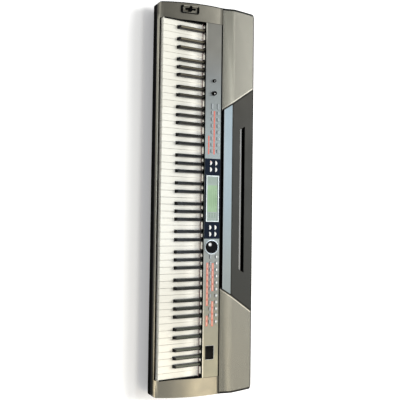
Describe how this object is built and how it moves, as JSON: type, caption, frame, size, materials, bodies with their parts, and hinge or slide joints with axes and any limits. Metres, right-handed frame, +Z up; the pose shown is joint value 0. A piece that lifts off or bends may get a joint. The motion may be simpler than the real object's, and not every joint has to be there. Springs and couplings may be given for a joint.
{
  "type": "stage piano",
  "caption": "Slab-shaped stage piano: full hinged keyboard, tilted control panel with display, dial, knobs and joystick, speaker grilles and rear sockets.",
  "frame": {"origin": "middle of the case's footprint, on the plane of the feet", "axes": "+X towards the treble end, +Y away from the player, +Z up"},
  "size_m": [1.345, 0.356, 0.129],
  "materials": {
    "case_lower": "fine matt texture",
    "case_upper": "bronze-grey metallic lacquer, satin",
    "panel": "silver metallic, satin",
    "gloss_black": "polished",
    "slip": "polished silver lacquer",
    "navy": "polished overlay",
    "frame_white": "satin silver white",
    "lcd": "clear window over a green backlit display",
    "deck_dark": "dark bronze metallic, satin",
    "deck_blue": "pale blue-grey metallic, satin",
    "grille": "perforated sheet, warm grey lacquer",
    "speaker_basket": "black powder coat",
    "speaker_cone": "matt paper cone",
    "felt": "dark red felt",
    "steel": "zinc plated",
    "board": "green solder mask",
    "socket_black": "moulded",
    "feet": "matt rubber",
    "white_key": "polished ivory white",
    "black_key": "polished black",
    "button_grey": "satin",
    "button_white": "satin",
    "switch_frame": "satin",
    "well_liner": "bronze-grey lacquer, as on the upper shell",
    "ring": "satin chrome"
  },
  "bodies": {
    "case": {"bottom_case": "case_lower", "top_case": "case_upper", "control_panel": "panel", "key_slip_strip": "slip", "display_bezel": "navy", "display_frame": "frame_white", "lcd_screen": "lcd", "rear_deck": "deck_dark", "deck_strip": "deck_blue", "left_speaker_grille": "grille", "right_speaker_grille": "grille", "left_speaker_frame": "speaker_basket", "left_speaker_cone": "speaker_cone", "right_speaker_frame": "speaker_basket", "right_speaker_cone": "speaker_cone", "key_felt": "felt", "key_chassis": "steel", "key_hinge_rod": "steel", "key_contact_board": "board", "main_board": "board", "panel_board": "board", "jack_plate": "socket_black", "phone_jacks": "socket_black", "midi_sockets": "socket_black", "usb_socket": "steel", "dc_inlet": "socket_black", "rubber_feet": "feet", "case_screws": "steel", "joystick_well": "well_liner", "switch_bezel": "switch_frame", "dial_ring": "ring"},
    "key_c_4": {"key_c_4": "white_key"},
    "key_c_sharp_4": {"key_c_sharp_4": "black_key"},
    "key_d_4": {"key_d_4": "white_key"},
    "key_d_sharp_4": {"key_d_sharp_4": "black_key"},
    "key_e_4": {"key_e_4": "white_key"},
    "key_f_4": {"key_f_4": "white_key"},
    "key_f_sharp_4": {"key_f_sharp_4": "black_key"},
    "key_g_4": {"key_g_4": "white_key"},
    "key_g_sharp_4": {"key_g_sharp_4": "black_key"},
    "key_a_4": {"key_a_4": "white_key"},
    "key_a_sharp_4": {"key_a_sharp_4": "black_key"},
    "key_b_4": {"key_b_4": "white_key"},
    "white_keys_a0_b1": {"white_keys_a0_b1": "white_key"},
    "black_keys_a0_b1": {"black_keys_a0_b1": "black_key"},
    "white_keys_c2_b3": {"white_keys_c2_b3": "white_key"},
    "black_keys_c2_b3": {"black_keys_c2_b3": "black_key"},
    "white_keys_c5_b6": {"white_keys_c5_b6": "white_key"},
    "black_keys_c5_b6": {"black_keys_c5_b6": "black_key"},
    "white_keys_c7_c8": {"white_keys_c7_c8": "white_key"},
    "black_keys_c7_c8": {"black_keys_c7_c8": "black_key"},
    "joystick_gimbal": {"joystick_gimbal": "socket_black"},
    "joystick_lever": {"joystick_lever": "gloss_black"},
    "data_dial": {"data_dial": "gloss_black"},
    "volume_knob": {"volume_knob": "gloss_black"},
    "contrast_knob": {"contrast_knob": "gloss_black"},
    "power_rocker": {"power_rocker": "gloss_black"},
    "left_buttons": {"left_buttons": "button_grey"},
    "right_buttons": {"right_buttons": "button_white"},
    "display_buttons": {"display_buttons": "button_white"}
  },
  "joints": [
    {"name": "key_c_4_hinge", "type": "hinge", "parent": "case", "child": "key_c_4", "pos_m": [0, 0.055, 0.072], "axis": [1, 0, 0], "range_deg": [0, 2.6], "stiffness_Nm_per_rad": 1, "springref_deg": -10.31},
    {"name": "key_c_sharp_4_hinge", "type": "hinge", "parent": "case", "child": "key_c_sharp_4", "pos_m": [0, 0.055, 0.072], "axis": [1, 0, 0], "range_deg": [0, 2.6], "stiffness_Nm_per_rad": 1, "springref_deg": -10.31},
    {"name": "key_d_4_hinge", "type": "hinge", "parent": "case", "child": "key_d_4", "pos_m": [0, 0.055, 0.072], "axis": [1, 0, 0], "range_deg": [0, 2.6], "stiffness_Nm_per_rad": 1, "springref_deg": -10.31},
    {"name": "key_d_sharp_4_hinge", "type": "hinge", "parent": "case", "child": "key_d_sharp_4", "pos_m": [0, 0.055, 0.072], "axis": [1, 0, 0], "range_deg": [0, 2.6], "stiffness_Nm_per_rad": 1, "springref_deg": -10.31},
    {"name": "key_e_4_hinge", "type": "hinge", "parent": "case", "child": "key_e_4", "pos_m": [0, 0.055, 0.072], "axis": [1, 0, 0], "range_deg": [0, 2.6], "stiffness_Nm_per_rad": 1, "springref_deg": -10.31},
    {"name": "key_f_4_hinge", "type": "hinge", "parent": "case", "child": "key_f_4", "pos_m": [0, 0.055, 0.072], "axis": [1, 0, 0], "range_deg": [0, 2.6], "stiffness_Nm_per_rad": 1, "springref_deg": -10.31},
    {"name": "key_f_sharp_4_hinge", "type": "hinge", "parent": "case", "child": "key_f_sharp_4", "pos_m": [0, 0.055, 0.072], "axis": [1, 0, 0], "range_deg": [0, 2.6], "stiffness_Nm_per_rad": 1, "springref_deg": -10.31},
    {"name": "key_g_4_hinge", "type": "hinge", "parent": "case", "child": "key_g_4", "pos_m": [0, 0.055, 0.072], "axis": [1, 0, 0], "range_deg": [0, 2.6], "stiffness_Nm_per_rad": 1, "springref_deg": -10.31},
    {"name": "key_g_sharp_4_hinge", "type": "hinge", "parent": "case", "child": "key_g_sharp_4", "pos_m": [0, 0.055, 0.072], "axis": [1, 0, 0], "range_deg": [0, 2.6], "stiffness_Nm_per_rad": 1, "springref_deg": -10.31},
    {"name": "key_a_4_hinge", "type": "hinge", "parent": "case", "child": "key_a_4", "pos_m": [0, 0.055, 0.072], "axis": [1, 0, 0], "range_deg": [0, 2.6], "stiffness_Nm_per_rad": 1, "springref_deg": -10.31},
    {"name": "key_a_sharp_4_hinge", "type": "hinge", "parent": "case", "child": "key_a_sharp_4", "pos_m": [0, 0.055, 0.072], "axis": [1, 0, 0], "range_deg": [0, 2.6], "stiffness_Nm_per_rad": 1, "springref_deg": -10.31},
    {"name": "key_b_4_hinge", "type": "hinge", "parent": "case", "child": "key_b_4", "pos_m": [0, 0.055, 0.072], "axis": [1, 0, 0], "range_deg": [0, 2.6], "stiffness_Nm_per_rad": 1, "springref_deg": -10.31},
    {"name": "white_keys_a0_b1_hinge", "type": "hinge", "parent": "case", "child": "white_keys_a0_b1", "pos_m": [0, 0.055, 0.072], "axis": [1, 0, 0], "range_deg": [0, 2.6], "stiffness_Nm_per_rad": 9, "springref_deg": -10.31},
    {"name": "black_keys_a0_b1_hinge", "type": "hinge", "parent": "case", "child": "black_keys_a0_b1", "pos_m": [0, 0.055, 0.072], "axis": [1, 0, 0], "range_deg": [0, 2.6], "stiffness_Nm_per_rad": 6, "springref_deg": -10.31},
    {"name": "white_keys_c2_b3_hinge", "type": "hinge", "parent": "case", "child": "white_keys_c2_b3", "pos_m": [0, 0.055, 0.072], "axis": [1, 0, 0], "range_deg": [0, 2.6], "stiffness_Nm_per_rad": 14, "springref_deg": -10.31},
    {"name": "black_keys_c2_b3_hinge", "type": "hinge", "parent": "case", "child": "black_keys_c2_b3", "pos_m": [0, 0.055, 0.072], "axis": [1, 0, 0], "range_deg": [0, 2.6], "stiffness_Nm_per_rad": 10, "springref_deg": -10.31},
    {"name": "white_keys_c5_b6_hinge", "type": "hinge", "parent": "case", "child": "white_keys_c5_b6", "pos_m": [0, 0.055, 0.072], "axis": [1, 0, 0], "range_deg": [0, 2.6], "stiffness_Nm_per_rad": 14, "springref_deg": -10.31},
    {"name": "black_keys_c5_b6_hinge", "type": "hinge", "parent": "case", "child": "black_keys_c5_b6", "pos_m": [0, 0.055, 0.072], "axis": [1, 0, 0], "range_deg": [0, 2.6], "stiffness_Nm_per_rad": 10, "springref_deg": -10.31},
    {"name": "white_keys_c7_c8_hinge", "type": "hinge", "parent": "case", "child": "white_keys_c7_c8", "pos_m": [0, 0.055, 0.072], "axis": [1, 0, 0], "range_deg": [0, 2.6], "stiffness_Nm_per_rad": 8, "springref_deg": -10.31},
    {"name": "black_keys_c7_c8_hinge", "type": "hinge", "parent": "case", "child": "black_keys_c7_c8", "pos_m": [0, 0.055, 0.072], "axis": [1, 0, 0], "range_deg": [0, 2.6], "stiffness_Nm_per_rad": 5, "springref_deg": -10.31},
    {"name": "joystick_fore_aft", "type": "hinge", "parent": "case", "child": "joystick_gimbal", "pos_m": [-0.648, -0.06642, 0.0852], "axis": [1, 0, 0], "range_deg": [-18, 18], "stiffness_Nm_per_rad": 0.05},
    {"name": "joystick_side", "type": "hinge", "parent": "joystick_gimbal", "child": "joystick_lever", "pos_m": [-0.648, -0.06642, 0.0852], "axis": [0, 0.9766, 0.2152], "range_deg": [-14, 14], "stiffness_Nm_per_rad": 0.05},
    {"name": "data_dial_turn", "type": "hinge", "parent": "case", "child": "data_dial", "pos_m": [0.168, 0.02076, 0.11003], "axis": [0, -0.0906, 0.9959], "continuous": true},
    {"name": "volume_turn", "type": "hinge", "parent": "case", "child": "volume_knob", "pos_m": [-0.3655, 0.02295, 0.11023], "axis": [0, -0.0906, 0.9959], "range_deg": [-150, 150]},
    {"name": "contrast_turn", "type": "hinge", "parent": "case", "child": "contrast_knob", "pos_m": [-0.4095, 0.02295, 0.11023], "axis": [0, -0.0906, 0.9959], "range_deg": [-150, 150]},
    {"name": "power_rock", "type": "hinge", "parent": "case", "child": "power_rocker", "pos_m": [0.528, 0.01774, 0.10574], "axis": [0, 0.9959, 0.0906], "range_deg": [-12, 0]},
    {"name": "left_buttons_press", "type": "slide", "parent": "case", "child": "left_buttons", "axis": [0, 0.0906, -0.9959], "range_m": [0, 0.0012], "stiffness_N_per_m": 4000, "springref_m": -0.0005},
    {"name": "right_buttons_press", "type": "slide", "parent": "case", "child": "right_buttons", "axis": [0, 0.0906, -0.9959], "range_m": [0, 0.0012], "stiffness_N_per_m": 4000, "springref_m": -0.0005},
    {"name": "display_buttons_press", "type": "slide", "parent": "case", "child": "display_buttons", "axis": [0, 0.0906, -0.9959], "range_m": [0, 0.0012], "stiffness_N_per_m": 4000, "springref_m": -0.0005}
  ]
}
